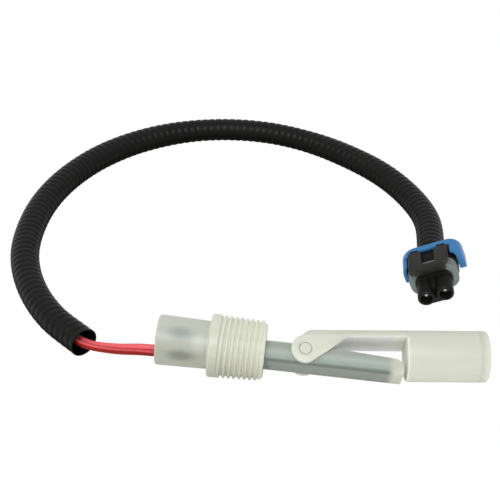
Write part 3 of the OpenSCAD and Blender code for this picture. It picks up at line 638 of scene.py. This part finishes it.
def skirt_colour(tree, x, height):
    """Grey cream with painted shade low down and painted light on top, the two sleeves behind it as stains, the
    lower one deepened by painted shade, and a painted highlight in front of them.
    """
    skirt = ramp(tree, height, -8.7, 8.7, (
        (0, (0.5, 0.52, 0.44)), (0.07, (0.42, 0.44, 0.36)), (0.3, (0.43, 0.45, 0.365)),
        (0.46, (0.49, 0.505, 0.44)), (0.6, (0.5, 0.52, 0.455)), (0.9, (0.57, 0.59, 0.525)),
        (1, (0.63, 0.64, 0.575))))
    # A painted highlight, then the upper sleeve, then the lower sleeve with painted shade added
    for middle, half, share, shade in (
            ((-3.0, 1.2), (3.2, 3.4), 0.6, (0.66, 0.68, 0.6)),
            ((-9.8, 3.4), (4.6, 2.6), 0.75, (0.3, 0.36, 0.33)),
            ((-9.0, -4.0), (5.4, 2.2), 0.8, (0.2, 0.215, 0.17))):
        spot = maths(tree, "MULTIPLY", stain(tree, x, height, middle, half), share)
        skirt = mixed(tree, spot, skirt, shade)
    return skirt


def core_colour(tree, y, z):
    """Grey of the core through the stem's side and its flat underside, with a painted highlight band along the
    side and painted shade on the underside and along the edge between them.
    """
    side = ramp(tree, z, -stem_below, stem_above, (
        (0, (0.115, 0.145, 0.12)), (0.09, (0.155, 0.195, 0.165)), (0.17, (0.3, 0.37, 0.33)),
        (0.45, (0.435, 0.505, 0.46)), (0.75, (0.325, 0.375, 0.34)), (1, (0.38, 0.41, 0.35))))
    under = ramp(tree, maths(tree, "ABSOLUTE", y), stem_half_w, 3.0, (
        (0, (0.115, 0.145, 0.12)), (0.3, (0.19, 0.23, 0.195)), (1, (0.23, 0.27, 0.225))))
    low = until(tree, z, 0.01 - stem_below, 0.1 - stem_below)
    return mixed(tree, low, side, under)


def plug_plastic():
    """Milky polypropylene: skirt, thread, and a stem with the grey core behind it and cream stubs on it."""
    paint = plastic("natural_polypropylene", (0.83, 0.84, 0.72), (0.79, 0.8, 0.68), rough=0.36, patch=160,
                    grain=0.004, Subsurface_Weight=0.8, Subsurface_Scale=2.0 * MM,
                    Subsurface_Radius=(1, 1, 0.85))
    tree = paint.node_tree
    x, y, z = local_place(tree, plug)
    # Height over the plug's middle as it shows from its resting side, turned 25 degrees from Z
    height = maths(tree, "ADD", maths(tree, "MULTIPLY", y, -0.425), maths(tree, "MULTIPLY", z, 0.905))
    before_stem = until(tree, x, thread_end - 0.1, thread_end + 0.1)
    colour = mixed(tree, before_stem, (0.6, 0.61, 0.51), thread_colour(tree, x, y, z, height))
    colour = mixed(tree, until(tree, x, -1.0, 0.3), colour, skirt_colour(tree, x, height))
    before_tip = until(tree, x, core_fades_from, core_fades_to)
    stem = maths(tree, "MULTIPLY", past(tree, x, thread_end - 0.2, thread_end + 0.2), before_tip)
    stubs = past(tree, maths(tree, "ABSOLUTE", y), stem_half_w + 0.01, stem_half_w + 0.1)
    core_seen = maths(tree, "MULTIPLY", stem, maths(tree, "SUBTRACT", 1.0, stubs))
    colour = mixed(tree, maths(tree, "MULTIPLY", stem, stubs), colour, (0.7, 0.71, 0.61))
    colour = mixed(tree, maths(tree, "MULTIPLY", core_seen, 0.92), colour, core_colour(tree, y, z))
    tree.links.new(colour, tree.nodes["Principled BSDF"].inputs["Base Color"])
    return paint


plug_copy = dressed("plug_body", "plug_copy", 0, inverse=plug.inverted())
plug_paint = plug_plastic()
plug_piece = plain(
    plug_copy, "threaded_plug", thread_tree(),
    {"Start": thread_start * MM, "Length": groove_l * MM, "Pitch": thread_pitch * MM,
     "Start radius": crest_start_r * MM, "End radius": crest_end_r * MM, "Depth": groove_depth * MM,
     "Top width": groove_top * MM, "Root width": groove_root * MM, "Over": groove_over * MM,
     "Crest start": crest_start * MM, "Crest length": crest_l * MM, "Material": plug_paint}, sharp=32)
plug_piece.data.transform(plug)
finish_piece(plug_piece, plug_paint, "root", ["plug_body"])


# What is sealed inside the plug: cast potting, two shrunk sleeves over brass crimps, and the reed switch
# in its glass with tinned leads. These stay the CAD solids and only take their materials.
def paint_nodes(paint, slot, *names):
    """Puts a material on CAD nodes that are shown as they are."""
    for name in names:
        obj = frame["nodes"][name]
        obj.data.materials.clear()
        obj.data.materials.append(paint)


rear_potting = plastic("cloudy_potting", (0.62, 0.63, 0.57), (0.54, 0.56, 0.5), rough=0.25, patch=500,
                       Subsurface_Weight=0.3, Subsurface_Scale=1.0 * MM)
paint_nodes(rear_potting, "clear_potting", "rear_potting")
paint_nodes(plastic("grey_potting", (0.24, 0.28, 0.26), (0.2, 0.24, 0.22)), "grey_potting", "stem_potting")
paint_nodes(plastic("grey_sleeve", (0.15, 0.21, 0.2), (0.12, 0.17, 0.16)), "grey_sleeve", "shrink_sleeve_a")
# The lower sleeve is a darker copy of the grey one, as painted shade
paint_nodes(plastic("dark_sleeve", (0.07, 0.08, 0.06), (0.05, 0.06, 0.05)), "dark_sleeve", "shrink_sleeve_b")
paint_nodes(plastic("green_glass", (0.8, 0.92, 0.86), (0.72, 0.88, 0.82), rough=0.05, grain=0,
                    Transmission_Weight=0.9), "reed_glass", "reed_glass")
paint_nodes(plastic("plated_contact", (0.6, 0.57, 0.5), (0.5, 0.48, 0.42), rough=0.3, Metallic=1.0),
            "plated_contact", "reed_blade_front", "reed_blade_rear")
paint_nodes(plastic("tinned_wire", (0.6, 0.6, 0.61), (0.48, 0.48, 0.5), rough=0.35, Metallic=1.0),
            "tinned_lead", "lead_front", "lead_rear")
paint_nodes(plastic("crimp_brass", (0.62, 0.42, 0.14), (0.52, 0.34, 0.1), rough=0.35, Metallic=1.0),
            "crimp_brass", "splice_a", "splice_b")


# Float: a hollow float with its arm and two ears in one moulding of natural polypropylene, whiter than
# the plug because it is foamed, with a welded end cap. The magnet and its plug are inside.
arm_clear = 4.4
body_x = 34.5
weld_x = 59.7
hole_rim_r = 2.4


def near_plane(tree, value, place, inner, outer):
    """1 within the inner distance of a plane and 0 past the outer one."""
    return until(tree, maths(tree, "ABSOLUTE", maths(tree, "SUBTRACT", value, place)), inner, outer)


def turned_to(tree, direction):
    """1 where the surface faces a direction of the float's frame, 0 where it faces aside or away."""
    facing = add(tree, "ShaderNodeTexCoord").outputs["Normal"]
    alike = add(tree, "ShaderNodeVectorMath", {
        0: facing, 1: floating.to_3x3() @ Vector(direction)}, operation="DOT_PRODUCT")
    return past(tree, alike.outputs["Value"], 0.3, 0.9)


def float_plastic():
    """Milky plastic that carries light: it goes deeper in the arm than in the hollow body. The arm's underside and
    the body's rear face get painted light.
    """
    hollow_depth = 1.5
    arm_depth = 10
    carrying = 0.9
    paint = plastic("float_polypropylene", (0.69, 0.7, 0.605), (0.66, 0.67, 0.58), rough=0.4, patch=120,
                    grain=0.004, Subsurface_Radius=(0.92, 0.92, 1))
    tree = paint.node_tree
    shader = tree.nodes["Principled BSDF"]
    x, y, z = local_place(tree, floating)
    # The arm's middle runs into the body without a line; under it the body starts with its rear face
    arm = mixed(tree, until(tree, z, arm_clear - 0.3, arm_clear + 0.2), until(tree, x, 29, 37),
                until(tree, x, body_x - 0.3, body_x - 0.05))
    thick = maths(tree, "MULTIPLY", arm, past(tree, x, 5.0, 13.0))
    deep = add(tree, "ShaderNodeMapRange", {
        "Value": thick, "To Min": hollow_depth * MM, "To Max": arm_depth * MM})
    tree.links.new(deep.outputs[0], shader.inputs["Subsurface Scale"])
    weld = near_plane(tree, x, weld_x, 0.3, 1.5)
    carried = maths(tree, "MULTIPLY", maths(tree, "SUBTRACT", 1.0, weld), carrying)
    tree.links.new(carried, shader.inputs["Subsurface Weight"])
    # Painted light: paler colour on the arm's underside and on the body's rear face
    underside = maths(tree, "MULTIPLY", maths(tree, "MULTIPLY", arm, turned_to(tree, (0, 0, -1))),
                      past(tree, x, 4, 8))
    rear = maths(tree, "MULTIPLY", turned_to(tree, (-1, 0, 0)), near_plane(tree, x, body_x, 0.3, 0.5))
    colour = shader.inputs["Base Color"].links[0].from_socket
    arm_colour = mixed(tree, past(tree, x, 2.0, 16.0), (0.7, 0.72, 0.615), (0.63, 0.645, 0.53))
    colour = mixed(tree, arm, colour, arm_colour)
    colour = mixed(tree, past(tree, x, weld_x - 0.1, weld_x + 0.1), colour, (0.72, 0.73, 0.63))
    colour = mixed(tree, maths(tree, "MULTIPLY", weld, 0.12), colour, (0, 0, 0))
    colour = mixed(tree, maths(tree, "MAXIMUM", underside, rear), colour, (1, 1, 0.86))
    tree.links.new(colour, shader.inputs["Base Color"])
    arm_edges = maths(tree, "MULTIPLY", until(tree, x, 36.0, 38.0), 1.0 * MM)
    soft = add(tree, "ShaderNodeBevel", {"Radius": arm_edges}, samples=8)
    tree.links.new(soft.outputs[0], shader.inputs["Normal"])
    return paint


def weld_or_hole(middle):
    """Whether a point of an edge is on the weld of the cap or on the rim of an ear's hole."""
    place = floating.inverted() @ middle / MM
    return abs(place.x - weld_x) < 0.1 or math.hypot(place.x, place.z) < hole_rim_r


float_white = float_plastic()
for node, name, edge in (("float_shell", "float_and_arm", 0.3), ("float_cap", "float_end_cap", 0.5)):
    piece = plain(dressed(node, node + "_copy", edge, spared=weld_or_hole), name, sharp=35)
    finish_piece(piece, float_white, "float", [node])
paint_nodes(plastic("ferrite", (0.045, 0.045, 0.05), (0.03, 0.03, 0.034), rough=0.6), "ferrite", "magnet")
paint_nodes(plastic("plug_pp", (0.72, 0.73, 0.64), (0.66, 0.67, 0.58)), "natural_pp", "magnet_plug")


# Connector: a sealed two-way half of black glass-filled nylon, with a silicone seal round the nose of its
# towers, a latch frame over the seal and a blue lock over its rear. All are moulded, with a fine grain.
# The housing with its towers is less glossy than the latch and a darker black, which is painted shade.
black_nylon = plastic("black_nylon", (0.016, 0.016, 0.015), (0.024, 0.024, 0.022), rough=0.45, patch=600,
                      grain=0.02, Specular_IOR_Level=0.4)
# The housing and its towers: a less glossy, darker copy of the black nylon, the darkness painted shade
shaded_tower_nylon = plastic("shaded_tower_nylon", (0.006, 0.006, 0.0055), (0.011, 0.011, 0.01), rough=0.45, patch=600,
                      grain=0.02, Specular_IOR_Level=0.22)
seal_grey = plastic("seal_silicone", (0.235, 0.28, 0.27), (0.2, 0.235, 0.225), rough=0.55, patch=400)
lock_blue = plastic("lock_blue", (0.038, 0.22, 0.51), (0.03, 0.18, 0.43), rough=0.38, patch=400, grain=0.015)
for node, name, edge, paint, body, slot in (
        ("connector_housing", "black_housing", 0.25, shaded_tower_nylon, "root", "black_housing"),
        ("interface_seal", "ribbed_seal", 0.15, seal_grey, "root", "grey_seal"),
        ("latch", "latch_frame", 0.3, black_nylon, "latch", "black_housing"),
        ("secondary_lock", "blue_lock", 0.4, lock_blue, "lock", "blue_lock")):
    piece = plain(dressed(node, node + "_copy", edge), name, sharp=35)
    finish_piece(piece, paint, body, [node])
paint_nodes(seal_grey, "grey_seal", "wire_seal_a", "wire_seal_b")
paint_nodes(plastic("terminal_tin", (0.7, 0.7, 0.71), (0.58, 0.58, 0.6), rough=0.25, Metallic=1.0),
            "tin_terminal", "terminal_a", "terminal_b")
